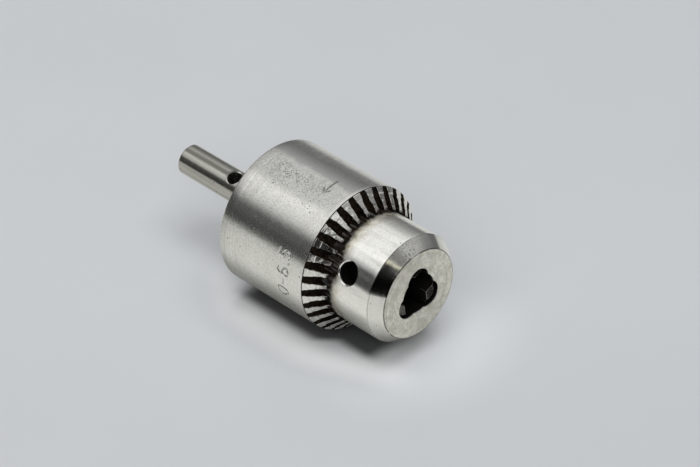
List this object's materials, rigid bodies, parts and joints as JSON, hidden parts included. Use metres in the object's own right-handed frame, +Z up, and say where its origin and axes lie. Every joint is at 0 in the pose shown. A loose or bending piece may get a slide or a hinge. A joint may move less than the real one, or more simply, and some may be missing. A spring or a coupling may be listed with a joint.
{
  "type": "drill chuck",
  "caption": "Keyed drill chuck on a straight shank: turning the bevel-toothed sleeve drives inclined jaws together to grip a round tool shank.",
  "frame": {"origin": "centre of the flat end of the shank, on the chuck's turning axis", "axes": "+X along the turning axis from the shank end to the nose; +Z up with the chuck lying on its side"},
  "size_m": [0.063, 0.0296, 0.0296],
  "materials": {
    "turned_stainless": "fine turned stainless steel",
    "ground_stainless": "ground stainless steel",
    "satin_stainless": "satin stainless steel with light staining",
    "hardened_steel": "hardened and ground steel",
    "nut_steel": "oiled machined steel"
  },
  "bodies": {
    "body": {"chuck_body": "turned_stainless", "shank": "ground_stainless", "retaining_screw": "hardened_steel"},
    "sleeve_and_nut": {"sleeve": "satin_stainless", "nut_half_upper": "nut_steel", "nut_half_lower": "nut_steel"},
    "jaw_1": {"jaw_1": "hardened_steel"},
    "jaw_2": {"jaw_2": "hardened_steel"},
    "jaw_3": {"jaw_3": "hardened_steel"}
  },
  "joints": [
    {"name": "sleeve_turn", "type": "hinge", "parent": "body", "child": "sleeve_and_nut", "pos_m": [0.04395, 0, 0], "axis": [-1, 0, 0], "range_deg": [0, 3236]},
    {"name": "jaw_1_slide", "type": "slide", "parent": "body", "child": "jaw_1", "axis": [0.9703, 0.0089, -0.2418], "range_m": [0, 0.0135]},
    {"name": "jaw_2_slide", "type": "slide", "parent": "body", "child": "jaw_2", "axis": [0.9703, 0.2049, 0.1286], "range_m": [0, 0.0135]},
    {"name": "jaw_3_slide", "type": "slide", "parent": "body", "child": "jaw_3", "axis": [0.9703, -0.2138, 0.1132], "range_m": [0, 0.0135]}
  ],
  "couplings": [
    {"joint": "jaw_1_slide", "follows": "sleeve_turn", "m_per_rad": 0.00023873},
    {"joint": "jaw_2_slide", "follows": "sleeve_turn", "m_per_rad": 0.00023873},
    {"joint": "jaw_3_slide", "follows": "sleeve_turn", "m_per_rad": 0.00023873}
  ]
}
